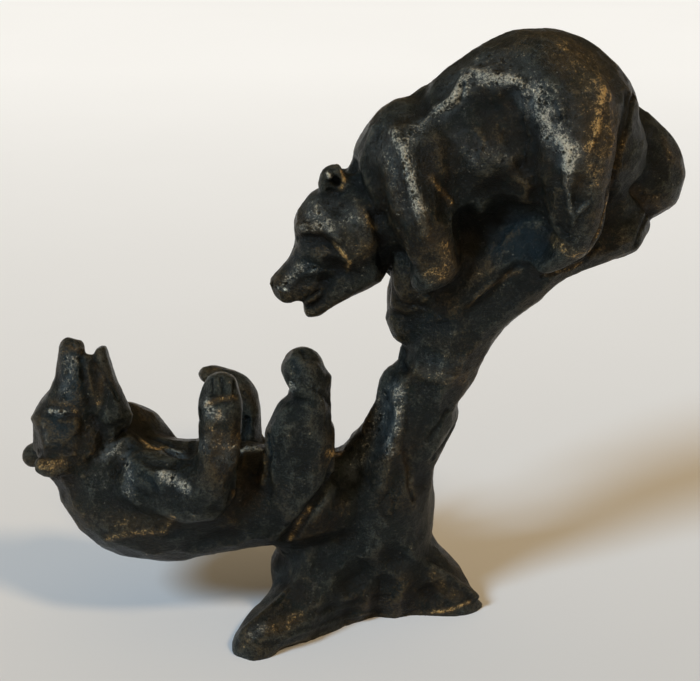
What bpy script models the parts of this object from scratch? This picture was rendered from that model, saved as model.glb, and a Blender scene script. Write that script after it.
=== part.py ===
# Two bears at play on a leaning tree trunk, cast in one piece of bronze.
# One bear crouches head down on the sloping trunk and growls at the other, which hangs out
# from the foot of the trunk on its back with its paws in the air.
# Metres, +Z up. Seen from the front, which looks along +Y, the trunk leans to the right.
# The origin is the centre of the outline, on the surface that the casting stands on.

import math

import bmesh
import bpy
from mathutils import Matrix, Vector, noise
from mathutils.bvhtree import BVHTree
from mathutils.kdtree import KDTree

# Driving sizes, in metres
HEIGHT = 0.118              # from the surface it stands on to the upper bear's rump
UNIT = HEIGHT / 118         # the modeller's unit: the pose and proportions below are numbers of these
BODY_GRAIN = 1.0 * UNIT     # how finely the big rolls of clay are pressed into one
DETAIL_GRAIN = 0.6 * UNIT   # the same, once the small ones are on
MOST_TRIANGLES = 9300

BODY_THUMBING = 6           # rounds of smoothing with the thumb
DETAIL_THUMBING = 3
THUMB = 0.5                 # how far one round moves a spot towards its neighbours' middle

RING_SIDES = 20
SPAN_STEPS = 4              # rings from one station of a roll to the next
CAP_STEPS = 3               # rings that round a roll's end
CAP_SWING = math.radians(80)
SNAP_TO_BASE = 0.3 * UNIT   # a vertex this near to the cut moves onto it, so that no sliver is left

PADDLE_SPACING = 6 * UNIT   # the flat planes that the modeller's paddle leaves all over
PADDLE_REACH = 5 * UNIT
PADDLE_BITE = 0.3 * UNIT
PADDLE_EDGE = 4             # the higher, the sharper a plane's edge
PADDLE_FACING = 0.7         # the paddle meets only skin that faces it about this well
LATTICE_SHAKE = 7.3         # steps through the noise that unsettles the paddle's lattice
LATTICE_SEED = 5            # which noise that is

BRONZE_COLOUR = (0.022, 0.021, 0.017, 1)
BRONZE_ROUGHNESS = 0.38

# A roll of clay is a list of stations along its core. Each station is
# (x, y, z, radius across in the front view, radius in depth), in units.
BODY_ROLLS = {
    "upper_torso": [(14.5, 0, 91, 13.3, 12), (20, 0, 94.4, 14.3, 13.5), (27.5, 0, 98.6, 15.8, 14.5),
                    (34.5, 1, 101, 16.7, 15), (40.8, 1, 99, 14, 14), (44, 1, 95.5, 10.8, 12)],
    "upper_withers": [(8.2, -1, 96.8, 6.6, 8), (11.2, 0, 99.2, 6.3, 9)],
    "upper_seat": [(36, 2, 90, 9, 9), (45, 3, 85.5, 7, 8), (51, 5, 82, 4.5, 6)],
    "upper_neck": [(10.4, 0, 91.8, 11, 11), (5.6, 0, 85.4, 8.8, 10), (2, -1, 82, 8, 9)],
    "upper_skull": [(-0.6, -1, 80.3, 8.7, 8.8), (-2.5, -1, 80.2, 8.8, 8.4)],
    "upper_muzzle": [(-4.7, -1, 76.5, 5.5, 5.8), (-8.7, -1, 72.8, 3.9, 4.5),
                     (-11.2, -1, 70.2, 3.2, 3.7), (-12.3, -1, 68.8, 2.9, 3.3)],
    "upper_near_foreleg": [(12.2, -8, 97, 7.9, 6.3), (12.5, -9.5, 90, 6.8, 6.3),
                           (13.9, -9.5, 82.7, 5.8, 6), (15.6, -9, 76.5, 4.7, 5.5),
                           (13.7, -8.5, 74, 3.5, 5)],
    "upper_far_foreleg": [(13, 8, 93, 8.2, 6.3), (14, 9.5, 83, 7.6, 6.3), (14.2, 8, 73.4, 5.8, 6),
                          (11.8, 5, 65.4, 5.2, 5.5), (10.4, 3, 61.6, 3.8, 5)],
    "upper_near_hindleg": [(40, -7, 106, 8, 6.3), (40, -9.5, 97.3, 8, 6.8),
                           (40.2, -10, 88.5, 6.2, 6.4), (40.2, -9.5, 82, 4.8, 5.4),
                           (37.4, -9, 77.8, 2.8, 4.6), (34.5, -9, 76, 1.9, 4)],
    "upper_far_hindleg": [(46.5, 7, 97, 8, 7), (51.8, 9, 91.6, 9, 7.6),
                          (54.4, 9, 87, 8.9, 7.4), (52.6, 8.5, 83, 6.2, 6.5),
                          (51, 7, 79, 4.4, 6)],
    "upper_far_knee": [(29.6, -2, 74.2, 4.4, 5), (32.6, -3, 78.2, 6.1, 5.5), (34.8, -4, 82, 5.5, 5)],
    "lower_torso": [(-46.4, 0, 29.6, 10.9, 11), (-43, 0, 27, 12.5, 12.3), (-35, 0, 25.4, 12.4, 12.3),
                    (-25.5, 0, 26.1, 11.5, 11.8), (-14.5, 0, 26.3, 9.5, 11.3), (-6, 1, 26, 8.4, 11)],
    "lower_neck": [(-46, 0, 31.4, 9.9, 10), (-49.6, 0, 35, 8.8, 9.5), (-52, -1, 38, 8, 9)],
    "lower_skull": [(-53.2, -1, 35, 6.6, 8.2), (-53.6, -1, 38.5, 7.2, 8.6), (-54.4, -1, 42, 6.6, 8)],
    "lower_muzzle": [(-52.9, -2, 46.3, 5.3, 6), (-52.3, -2, 51.2, 3.7, 4.8), (-52.4, -2, 55, 3, 4),
                     (-52.6, -2, 57, 2.4, 3.4)],
    "lower_near_arm": [(-38.5, -8.5, 33.3, 6, 5.5), (-29.2, -11.5, 32, 6.4, 5.5),
                       (-25.4, -13, 37, 4.9, 5.2), (-24.4, -13, 43, 4.5, 4.8),
                       (-24, -13, 49.5, 4.5, 4.8), (-23.8, -12.5, 53, 3.8, 4.2)],
    "lower_far_shoulder": [(-44.5, 7, 37.2, 6, 5.5), (-40.5, 8, 36.2, 4.6, 5.5), (-35, 10, 28.5, 4, 5)],
    "lower_far_arm": [(-33, 10, 27.5, 4.6, 5), (-23.5, 11.5, 28.6, 4.2, 4.8), (-20.4, 12, 36, 3.2, 4.6),
                      (-20.9, 12, 42, 3, 4.3), (-23.4, 11.5, 45.4, 2.2, 4),
                      (-28.6, 11, 47.2, 1.7, 3.6)],
    "lower_near_hindleg": [(-10.2, -6.5, 29, 8, 7), (-9.5, -9, 39.4, 7.2, 6.6),
                           (-8.9, -10.5, 46, 6.3, 6), (-7, -11, 51, 3.6, 5.2),
                           (-8.8, -11, 56.6, 4.3, 5.4)],
    "lower_far_hindleg": [(-10, 7, 26, 8, 7), (-10, 9, 32, 6.3, 6.5), (-9, 10, 38, 4.7, 5.6),
                          (-8.3, 10, 43, 4.2, 5)],
    "stem": [(1, 9, -3, 15, 9), (1.4, 8, 4, 15.6, 12.5), (1.6, 7, 9, 16, 13),
             (1.6, 6, 13.5, 15.6, 12.5), (3.3, 5.5, 18, 13.9, 12),
             (5.7, 4, 26.5, 11.6, 10.5), (8.7, 2.5, 35, 8.5, 9.5),
             (11.4, 2, 39.5, 8.2, 9), (12.9, 2, 44, 7.9, 8.8), (14.1, 2, 48.2, 7.7, 8.8),
             (16.9, 2, 52.7, 7.6, 8.8), (18.9, 2, 58.2, 8.1, 9), (24, 2, 64.6, 7.2, 9),
             (32.6, 2, 70.9, 5.8, 8.5), (37.7, 2, 74.9, 5.6, 8.5), (44.6, 2, 77.4, 5.1, 8),
             (51, 2, 79.2, 4.4, 7)],
    "crutch": [(17, 3, 62.6, 8.2, 8), (21.6, 0.5, 71, 8.4, 9), (30, 1, 78, 8, 9)],
    "left_flank": [(-7.5, 3, 9, 8.6, 9), (-8.2, 3, 15, 7.6, 9), (-5.5, 3, 21.5, 5, 8)],
    "front_skirt": [(-13.5, -11.2, 1, 2.6, 3.4), (-6.8, -6, 1, 2.8, 3.4), (0, 0.2, 1, 3, 3.4),
                    (6.5, 4, 1, 3, 3.4), (15, 2.8, 1, 2.8, 3.4), (22, 2.6, 0.6, 2.2, 3.4)],
    "left_root": [(-4, 1, 9.5, 9.2, 8.5), (-10.6, -5, 4.2, 5.8, 8), (-16.2, -11, 2, 4.6, 6.8),
                  (-18.6, -14.4, 0.6, 4.2, 5.4)],
    "right_root": [(10, 6, 8.2, 9.6, 8), (17, 6, 4, 6.6, 6.5), (21.8, 5, 1, 4.4, 5.5),
                   (25, 5.5, -0.4, 2.2, 3.5)],
    "back_root": [(4, 12, 9, 9, 9), (7, 20, 3, 6.5, 6.5), (8.5, 24, 0.5, 4.5, 4.5)],
}
DETAIL_ROLLS = {
    "upper_near_ear": [(-4.6, -3.4, 89, 1.4, 1.8), (-4.4, -3.4, 91, 1.5, 1.9), (-2.8, -3.4, 92, 1.6, 2),
                       (-1.4, -3.4, 91, 1.5, 2), (-1.4, -3.4, 89, 1.5, 1.9)],
    "upper_far_ear": [(-3.4, 5, 86.5, 1.4, 2), (-1.6, 6, 88.5, 2, 2.2), (0.4, 6, 87, 1.4, 2)],
    "upper_jaw": [(2.5, -1, 74, 4.9, 6.5), (-3.3, -1, 68, 2.7, 4.2), (-7.4, -1, 64.5, 1.7, 2.9)],
    "upper_lip": [(-12, -1, 67.6, 1.7, 2.8), (-9.6, -1, 68, 1.8, 3.4), (-7, -1, 69.8, 2, 4)],
    "upper_brow": [(-9, -4, 82.5, 1.3, 1.8), (-6.6, -6.4, 82.4, 1.5, 1.8), (-3.4, -7.6, 83.5, 1.4, 1.8)],
    "upper_nose": [(-13.6, -1, 70.2, 1.7, 2.6), (-12.6, -1, 69, 2, 3)],
    "upper_cheek": [(1.5, -6.8, 84.5, 2.4, 2.4), (2.2, -7.4, 80, 2.6, 2.4), (0, -6.6, 76, 2, 2.2)],
    "branch_knob": [(9.4, 1.4, 62.4, 3, 3.4), (10, 0.6, 60.2, 2.8, 3.2)],
    "branch_stub": [(50.8, 2.5, 79.4, 4.8, 5), (51.4, 2.5, 80.4, 4.6, 4.8)],
    "lower_jaw": [(-45.2, -1, 44, 3.5, 6), (-46, -1, 49.4, 2.3, 4.4), (-46.5, -1, 53.4, 1.7, 3.4),
                  (-46.9, -1, 56.2, 1.4, 2.8)],
    "lower_near_ear": [(-58.4, -8.2, 36, 1.5, 2.2), (-56.2, -9, 35.6, 1.8, 2.4),
                       (-53.8, -8.8, 35.8, 1.5, 2.2)],
    "lower_far_ear": [(-58.4, 4.6, 34.4, 2, 2.4), (-61.6, 5, 32.4, 2.6, 2.6)],
    "lower_brow": [(-58.9, -2, 43.4, 1.6, 2.5), (-57, -6.4, 43.6, 1.7, 1.8), (-52, -8, 44, 1.6, 1.6)],
    "lower_nose": [(-53.2, -2, 57.6, 1.8, 2.8), (-51.4, -2, 57.4, 1.8, 2.6)],
    "lower_heel": [(-5, -11, 54.2, 2, 3.2), (-5.2, -10.6, 51, 1.4, 3.2)],
    "trunk_lobe": [(17.8, 2.5, 42, 3.4, 6), (15.4, 2.5, 38, 2.8, 6)],
}

# A stroke of the modelling tool follows a line of points on or near the skin. Each stroke is
# (half its width, how deep it presses, points (x, y, z)), in units. A depth below 0 raises a ridge.
STROKES = {
    "upper_mouth": (1.5, 1.7, [(-10, -2, 66.5), (-8, -2.5, 68), (-5, -4, 70.5)]),
    "upper_mouth_far": (1.5, 1.7, [(-10, 0, 66.5), (-8, 1, 68), (-5, 2.5, 70.5)]),
    "upper_eye": (2, 1.2, [(-7, -7, 80.2), (-4.5, -9, 80), (-3, -9, 79)]),
    "upper_eye_far": (2, 1.2, [(-7, 5, 80.2), (-4.5, 7, 80)]),
    "upper_ear_hollow": (1.3, 1.6, [(-2.9, -6, 90.2), (-2.7, -6, 89.8)]),
    "upper_ear_back": (2, 1.5, [(0.2, 0, 92), (0.4, -3.5, 91.5), (0.8, -6.5, 90),
                                (2.6, -8.5, 87.5), (5, -9.5, 84.5)]),
    "upper_throat": (2.2, 1, [(5, -9.5, 84.5), (6.5, -8.5, 79.5), (7.5, -5, 74)]),
    "shoulder_edge": (2.4, -0.9, [(8, -10, 101), (10, -14, 97.5), (11, -15.5, 92), (13.5, -15.5, 84)]),
    "back_ridge": (2.6, -0.8, [(14, -9, 103.5), (18, -9, 107), (21.5, -7, 111), (29, -10.5, 110.5)]),
    "haunch_ridge": (2.6, -0.7, [(35, -11.5, 110), (38, -14.5, 102.5), (38.5, -16, 96)]),
    "shoulder_dip": (3, 0.9, [(12.5, -8, 103), (13, 0, 105.5), (13, 8, 103)]),
    "far_shoulder_edge": (2.4, -0.8, [(8, 9, 100), (11, 13, 96), (13, 15, 89), (14.5, 15, 81)]),
    "far_flank": (5.5, 1.9, [(21, 13, 104), (26, 14, 99), (28, 13, 92), (25, 11, 86)]),
    "far_haunch_front": (1.8, 1.1, [(34, 12, 107), (38, 14, 100), (42, 14, 92), (43, 12, 85)]),
    "flank_front": (5.5, 1.7, [(20, -12, 103), (21, -14, 96), (19, -13, 90)]),
    "flank_back": (5.5, 2.2, [(25, -13, 106), (28, -14, 101), (28, -13, 94), (25, -12, 88)]),
    "belly_hollow": (4.5, 2, [(20, -9, 84), (24, -6, 80), (28, -8, 86)]),
    "haunch_front": (1.8, 1.2, [(31.5, -12, 107), (32.5, -14, 100), (32.5, -13, 94),
                                (33, -11, 88), (35.5, -10, 83)]),
    "haunch_rear": (1.8, 1.2, [(50, -5, 106), (48.5, -10, 100), (47, -10, 93), (46.5, -6, 86)]),
    "far_haunch_fold": (1.8, 1, [(56.5, 3.5, 81.5), (54, 2, 85.5), (51, -2, 90)]),
    "branch_crease": (1.8, 1, [(21.5, -6, 67), (25.5, -6, 70.5), (31, -7.5, 75), (35, -9, 74.5)]),
    "paw_crease": (1.8, 1, [(9, -1, 68), (13, -4, 68.5), (18, -6, 70.5), (21, -5, 74)]),
    "lower_mouth": (1.3, 1.5, [(-48.8, -5, 53.5), (-47.5, -5.5, 50.5), (-45.5, -5, 47.5)]),
    "lower_mouth_far": (1.3, 1.5, [(-48.8, 3, 53.5), (-47.5, 3.5, 50.5)]),
    "lower_eye": (1.6, 0.9, [(-56, -7, 46), (-53.5, -8, 46.5), (-50.5, -7.5, 46.5)]),
    "lower_neck": (2.2, 1, [(-44, -6.5, 42.5), (-46, -8, 39.5), (-49, -9.5, 36.5)]),
    "lower_chest": (2, -0.9, [(-42.5, -3, 44), (-40, -4.5, 38.5), (-36, -6, 37)]),
    "near_armpit": (1.8, 1.2, [(-20.2, -12, 41), (-21.2, -14, 36.5), (-22, -14, 32)]),
    "near_arm_fold": (1.8, 1.1, [(-28.8, -13, 43), (-30.5, -12, 39.5), (-33.5, -12, 37.5)]),
    "far_arm_fold": (1.8, 1, [(-27, 13, 41), (-28, 14, 36), (-30, 14, 33)]),
    "far_rump_crease": (2.2, 1.3, [(-2, 11, 33), (-5, 14, 27), (-9, 14, 21), (-13, 10, 17)]),
    "hind_front": (1.8, 1.1, [(-16.8, -9, 41), (-16, -11.5, 37), (-16, -12, 32)]),
    "rump_crease": (2.2, 1.4, [(-3, -6, 34), (-4.5, -11, 34), (-7.5, -13, 29), (-10, -12, 24),
                               (-12, -8, 20)]),
    "near_toe_first": (0.9, 0.8, [(-25.3, -17, 55.5), (-25, -17.5, 52.5)]),
    "near_toe_second": (0.9, 0.8, [(-23.7, -17, 56), (-23.6, -17.5, 52.5)]),
    "near_toe_third": (0.9, 0.8, [(-22, -17, 55.5), (-22.1, -17.5, 52.5)]),
    "knob_notch": (1.6, 1.2, [(9, -4, 54), (9, 0, 54), (10, 4, 54)]),
    "trunk_ridge": (2.4, -1.1, [(9.5, -4, 51.5), (8.5, -5, 49), (9, -6, 44), (7.5, -7.5, 37), (6, -7, 31)]),
    "trunk_left_plane": (4, 0.7, [(4, -4.5, 41), (1, -5, 35), (-2, -5, 30)]),
    "trunk_right_plane": (4, 0.9, [(14, -7, 50), (13.5, -7, 42), (11.5, -7, 34)]),
    "right_root_ridge": (2, -0.8, [(12, -3, 15), (16, 0, 10.5), (20.5, 1, 7), (24.5, 3, 3)]),
    "left_root_ridge": (2.4, -0.9, [(-8, -4, 15), (-11.5, -7, 10), (-16, -12, 6.5), (-20, -15, 4)]),
    "root_notch": (3, 1.3, [(-15.5, -5, 13), (-15, 2, 13.5), (-15, 9, 13)]),
    "front_notch": (4, 2.2, [(5.5, -4, 0), (6, -4.5, 4), (6.5, -5, 8)]),
    "far_bark": (2.2, 1, [(14, 10, 56), (12, 11, 46), (10, 11, 36), (6, 14, 24), (5, 17, 14)]),
    "front_hollow": (4.5, 1.2, [(8, -5, 14), (2, -6, 11), (-4, -8, 8)]),
}


def smooth_through(stations, steps):
    """Stations on a Catmull-Rom curve through the given ones."""
    points = [Vector(s[:3]) for s in stations]
    radii = [Vector(s[3:]) for s in stations]

    def at(values, i, t):
        before, a = values[max(i - 1, 0)], values[i]
        b, after = values[i + 1], values[min(i + 2, len(values) - 1)]
        return (a * 2 + (b - before) * t + (before * 2 - a * 5 + b * 4 - after) * t * t
                + (a * 3 - before - b * 3 + after) * t ** 3) / 2

    made = []
    for i in range(len(stations) - 1):
        made += [(at(points, i, k / steps), at(radii, i, k / steps)) for k in range(steps)]
    return made + [(points[-1], radii[-1])]


def ring_frame(tangent):
    """The ring's two axes: one in the front view, one in depth."""
    along = tangent.normalized()
    depth = Vector((0, 1, 0)) - along * along.y
    depth.normalize()
    return depth.cross(along), depth


def add_roll(clay, stations):
    """One closed roll of clay with rounded ends, added to a bmesh."""
    path = smooth_through(stations, SPAN_STEPS)
    rings = []
    for i, (centre, radius) in enumerate(path):
        tangent = path[min(i + 1, len(path) - 1)][0] - path[max(i - 1, 0)][0]
        rings.append((centre, radius, tangent))
    first, last = rings[0], rings[-1]
    for k in range(1, CAP_STEPS + 1):
        swing = CAP_SWING * k / CAP_STEPS
        for end, sign in ((first, -1), (last, 1)):
            centre, radius, tangent = end
            reach = min(radius) * math.sin(swing) * sign
            cap = (centre + tangent.normalized() * reach, radius * math.cos(swing), tangent)
            rings.insert(0, cap) if sign < 0 else rings.append(cap)
    loops = []
    for centre, radius, tangent in rings:
        across, depth = ring_frame(tangent)
        turned = Matrix((across * radius[0], depth * radius[1], tangent.normalized())).transposed()
        place = Matrix.Translation(centre * UNIT) @ (turned * UNIT).to_4x4()
        ring = bmesh.ops.create_circle(clay, segments=RING_SIDES, radius=1, matrix=place)["verts"]
        loops.append([clay.edges.get(pair) for pair in zip(ring, ring[1:] + ring[:1])])
    for a, b in zip(loops, loops[1:]):
        bmesh.ops.bridge_loops(clay, edges=a + b)
    for end in (loops[0], loops[-1]):
        bmesh.ops.holes_fill(clay, edges=end, sides=0)


def pressed_together(clay, grain, smoothing):
    """The clay as one closed skin: a voxel remesh, then smoothing. Returns a mesh."""
    bmesh.ops.recalc_face_normals(clay, faces=clay.faces)
    mesh = bpy.data.meshes.new("clay")
    clay.to_mesh(mesh)
    clay.free()
    piece = bpy.data.objects.new("clay", mesh)
    bpy.context.scene.collection.objects.link(piece)
    fuse = piece.modifiers.new("press", "REMESH")
    fuse.mode = "VOXEL"
    fuse.voxel_size = grain
    thumb = piece.modifiers.new("thumb", "SMOOTH")
    thumb.factor = THUMB
    thumb.iterations = smoothing
    return settled(piece)


def settled(piece):
    """The piece's mesh with its modifiers applied. The piece itself goes."""
    graph = bpy.context.evaluated_depsgraph_get()
    mesh = bpy.data.meshes.new_from_object(piece.evaluated_get(graph))
    bpy.data.objects.remove(piece)
    return mesh


def skin_finder(skin):
    """Two searches over the skin: the nearest spot on it, and the vertices round a spot."""
    skin.verts.ensure_lookup_table()
    near = KDTree(len(skin.verts))
    for vert in skin.verts:
        near.insert(vert.co, vert.index)
    near.balance()
    return BVHTree.FromBMesh(skin), near


def carve(skin, strokes):
    """Press the strokes into the skin along its normals, soft-edged."""
    surface, near = skin_finder(skin)
    for half_width, depth, points in strokes.values():
        snapped = [surface.find_nearest(Vector(p) * UNIT)[0] for p in points]
        reach = half_width * UNIT
        pressed = {}
        for a, b in zip(snapped, snapped[1:]):
            steps = max(1, math.ceil((b - a).length / (reach / 3)))
            for k in range(steps + 1):
                spot = surface.find_nearest(a.lerp(b, k / steps))[0]
                for _, index, away in near.find_range(spot, reach):
                    share = (1 - (away / reach) ** 2) ** 2
                    pressed[index] = max(pressed.get(index, 0), share)
        moves = {i: skin.verts[i].normal * (-depth * UNIT * share) for i, share in pressed.items()}
        for index, move in moves.items():
            skin.verts[index].co += move


def paddle(skin):
    """Slap flat planes all over the skin, where an uneven lattice of spots comes close to it."""
    surface, near = skin_finder(skin)
    noise.seed_set(LATTICE_SEED)
    low = Vector(min(v.co[k] for v in skin.verts) for k in range(3))
    high = Vector(max(v.co[k] for v in skin.verts) for k in range(3))
    counts = [math.ceil(size / PADDLE_SPACING) for size in high - low]
    for i in range(counts[0]):
        for j in range(counts[1]):
            for k in range(counts[2]):
                knot = low + Vector((i, j, k)) * PADDLE_SPACING
                shaken = knot + noise.noise_vector(Vector((i, j, k)) * LATTICE_SHAKE) * PADDLE_SPACING
                spot, normal, _, away = surface.find_nearest(shaken)
                if away > PADDLE_SPACING / 2:
                    continue
                for _, index, gone in near.find_range(spot, PADDLE_REACH):
                    vert = skin.verts[index]
                    proud = (vert.co - spot).dot(normal) + PADDLE_BITE
                    if proud > 0 and vert.normal.dot(normal) > PADDLE_FACING:
                        bite = min(proud, PADDLE_BITE) * (1 - (gone / PADDLE_REACH) ** PADDLE_EDGE)
                        vert.co -= normal * bite


def stand_flat(piece):
    """Cut the underside flat at height 0, and put the origin under the outline's middle."""
    skin = bmesh.new()
    skin.from_mesh(piece.data)
    for vert in skin.verts:
        if abs(vert.co.z) < SNAP_TO_BASE:
            vert.co.z = 0
    whole = skin.verts[:] + skin.edges[:] + skin.faces[:]
    bmesh.ops.bisect_plane(skin, geom=whole, dist=1e-6, plane_co=(0, 0, 0), plane_no=(0, 0, 1),
                           clear_inner=True)
    rim = [e for e in skin.edges if e.is_boundary]
    bmesh.ops.triangle_fill(skin, edges=rim, use_dissolve=False, use_beauty=True, normal=(0, 0, -1))
    bmesh.ops.triangulate(skin, faces=skin.faces)
    bmesh.ops.recalc_face_normals(skin, faces=skin.faces)
    xs = [v.co.x for v in skin.verts]
    ys = [v.co.y for v in skin.verts]
    middle = Vector(((min(xs) + max(xs)) / 2, (min(ys) + max(ys)) / 2, 0))
    bmesh.ops.translate(skin, vec=-middle, verts=skin.verts)
    skin.to_mesh(piece.data)
    skin.free()


def bronze():
    """Cast bronze under a near-black patina."""
    metal = bpy.data.materials.new("bronze")
    metal.use_nodes = True
    shader = metal.node_tree.nodes["Principled BSDF"]
    shader.inputs["Base Color"].default_value = BRONZE_COLOUR
    shader.inputs["Metallic"].default_value = 1
    shader.inputs["Roughness"].default_value = BRONZE_ROUGHNESS
    return metal


def main():
    for old in list(bpy.data.objects):
        bpy.data.objects.remove(old)
    clay = bmesh.new()
    for stations in BODY_ROLLS.values():
        add_roll(clay, stations)
    body = pressed_together(clay, BODY_GRAIN, BODY_THUMBING)
    clay = bmesh.new()
    clay.from_mesh(body)
    for stations in DETAIL_ROLLS.values():
        add_roll(clay, stations)
    skin = bmesh.new()
    skin.from_mesh(pressed_together(clay, DETAIL_GRAIN, DETAIL_THUMBING))
    paddle(skin)
    skin.normal_update()
    carve(skin, STROKES)
    bmesh.ops.smooth_vert(skin, verts=skin.verts, factor=THUMB,
                          use_axis_x=True, use_axis_y=True, use_axis_z=True)
    mesh = bpy.data.meshes.new("bears_on_trunk")
    skin.to_mesh(mesh)
    skin.free()
    casting = bpy.data.objects.new("clay", mesh)
    bpy.context.scene.collection.objects.link(casting)
    thin = casting.modifiers.new("thin", "DECIMATE")
    thin.ratio = MOST_TRIANGLES / (2 * len(mesh.polygons))
    thin.use_collapse_triangulate = True
    piece = bpy.data.objects.new("bears_on_trunk", settled(casting))
    bpy.context.scene.collection.objects.link(piece)
    stand_flat(piece)
    piece.data.materials.append(bronze())
    piece.data.shade_smooth()


main()
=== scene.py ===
# The looks of the bronze bears: the hand-worked skin over the casting, its patina, and a pale studio.
import math

import bmesh
import bpy
import numpy as np
from mathutils import Matrix, Vector, noise
from mathutils.bvhtree import BVHTree
from mathutils.kdtree import KDTree


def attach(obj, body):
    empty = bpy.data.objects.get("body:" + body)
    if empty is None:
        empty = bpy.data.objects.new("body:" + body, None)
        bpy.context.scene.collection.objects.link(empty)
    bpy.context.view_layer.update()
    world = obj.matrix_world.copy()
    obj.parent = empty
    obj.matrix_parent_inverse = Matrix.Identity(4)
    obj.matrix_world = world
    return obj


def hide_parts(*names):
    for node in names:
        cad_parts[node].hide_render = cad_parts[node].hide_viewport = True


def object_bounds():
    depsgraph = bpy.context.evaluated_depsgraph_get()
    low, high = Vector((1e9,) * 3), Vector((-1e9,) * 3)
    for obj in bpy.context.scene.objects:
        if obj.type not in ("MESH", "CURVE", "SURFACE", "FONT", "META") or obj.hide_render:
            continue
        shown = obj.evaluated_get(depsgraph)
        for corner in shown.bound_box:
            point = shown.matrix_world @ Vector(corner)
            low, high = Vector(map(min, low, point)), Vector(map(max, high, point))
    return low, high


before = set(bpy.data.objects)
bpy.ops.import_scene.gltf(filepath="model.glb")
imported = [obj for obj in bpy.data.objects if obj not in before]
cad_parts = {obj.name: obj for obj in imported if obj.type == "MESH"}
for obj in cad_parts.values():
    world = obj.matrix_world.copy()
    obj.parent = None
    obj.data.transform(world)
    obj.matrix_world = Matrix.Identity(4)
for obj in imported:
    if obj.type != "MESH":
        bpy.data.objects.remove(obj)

mm = 0.001
cadBox = [list(corner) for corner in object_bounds()]

# The camera stands where the photograph was taken, and looks at the middle of the casting.
view = {
    "place": Vector((0.0004, -0.3805, 0.1948)),
    "target": Vector((0.0004, -0.0046, 0.058)),
    "lens": 109.03,             # for a sensor 36 mm wide
    "sensor": 36.0,
    "framePixels": (700, 681),
}


def makeCamera():
    data = bpy.data.cameras.new("photoCamera")
    data.lens = view["lens"]
    data.sensor_width = view["sensor"]
    data.sensor_fit = "HORIZONTAL"
    data.clip_start = 0.01
    camera = bpy.data.objects.new("photoCamera", data)
    camera.location = view["place"]
    camera.rotation_euler = (view["target"] - view["place"]).to_track_quat("-Z", "Y").to_euler()
    bpy.context.scene.collection.objects.link(camera)
    bpy.context.scene.camera = camera
    bpy.context.view_layer.update()
    return camera


def rayThrough(camera, px, py):
    # Where the camera's ray through a pixel of the photograph starts, and which way it goes.
    wide, high = view["framePixels"]
    reach = view["lens"] / view["sensor"] * wide
    local = Vector((px - wide / 2, high / 2 - py, -reach))
    return camera.matrix_world.translation, (camera.matrix_world.to_3x3() @ local).normalized()


skinSizes = {
    "merge": 1e-6,              # corners of the casting's triangles this near are one
    "rollStep": 0.35,           # of a clay roll's radius, from one ball of it to the next
    "grain": 0.34 * mm,         # the net that the skin is worked on
    "thumb": 0.5,               # how far one round of smoothing moves a spot
    "thumbing": 10,             # rounds of smoothing, which take the casting's flat faces away
    "pixelStep": 2,             # between the rays that follow a line seen from the camera
    "mostTriangles": 196000,
    "floorSnap": 0.3 * mm,      # what is this near to the floor lies on it
    "lumps": [(0.12 * mm, 6.0 * mm), (0.06 * mm, 2.2 * mm), (0.05 * mm, 0.9 * mm)],   # (height, size)
}

# Rolls of clay that close the lips, the folds and the dips: the radius in mm, then the camera's pixel and
# how far back (y, in mm) at each knot of the roll.
clayRolls = {
    "lipFront": (1.3, [(300, 295, -7.2), (306, 293, -7.4)]),
    "lip": (1.6, [(308, 296, -7.4), (314, 293, -7.4), (320, 288, -7.3), (325, 284, -7.0)]),
    "lipTop": (1.6, [(312, 289, -7.4), (319, 284, -7.2)]),
    "cheek": (1.9, [(391, 246, -1.9), (392, 255, -1.6), (393, 262, -0.9), (393, 268, -0.8)]),
    "chestBehind": (2.9, [(401, 244, -3.0), (404, 256, -3.5), (404, 268, -3.8),
                          (404, 281, -4.0), (404, 292, -4.6)]),
    "chestFront": (2.8, [(403, 244, -6.5), (405, 256, -7.0), (406, 268, -7.4),
                         (407, 281, -7.4), (412, 292, -7.0)]),
    "underPaw": (2.6, [(402, 300, -5.0), (412, 303, -6.0), (421, 300, -7.0)]),
    "trunkNotch": (1.7, [(407, 350, -3.2), (405, 362, -4.0), (399, 371, -4.4)]),
    "trunkLeft": (2.3, [(396, 374, -4.0), (389, 384, -4.2), (384, 404, -4.2),
                        (379, 415, -4.4), (371, 430, -4.4)]),
    "lowerCheek": (2.0, [(86, 365, -7.0), (90, 380, -7.7), (95, 394, -8.3), (99, 408, -8.7)]),
    "back": (2.4, [(413, 108, -3.0), (420, 103, -3.0), (427, 97, -3.0)]),
    "pawUnder": (2.3, [(418, 290, -8.2), (430, 296, -8.8), (442, 290, -9.4)]),
    "lowerJaw": (2.0, [(97, 377, -6.9), (103, 391, -7.4), (108, 404, -8.0)]),
    "lowerLip": (1.2, [(88, 360, -7.4), (93, 361, -7.2)]),
    "lowerNape": (2.2, [(107, 414, -8.4), (110, 426, -8.7), (109, 438, -8.3), (102, 450, -8.6)]),
    "lowerBrowSide": (1.5, [(46, 406, -6.0), (40, 418, -6.5), (39, 432, -7.0), (39, 445, -7.0)]),
}


def settled(piece):
    graph = bpy.context.evaluated_depsgraph_get()
    mesh = bpy.data.meshes.new_from_object(piece.evaluated_get(graph))
    bpy.data.objects.remove(piece)
    return mesh


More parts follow.
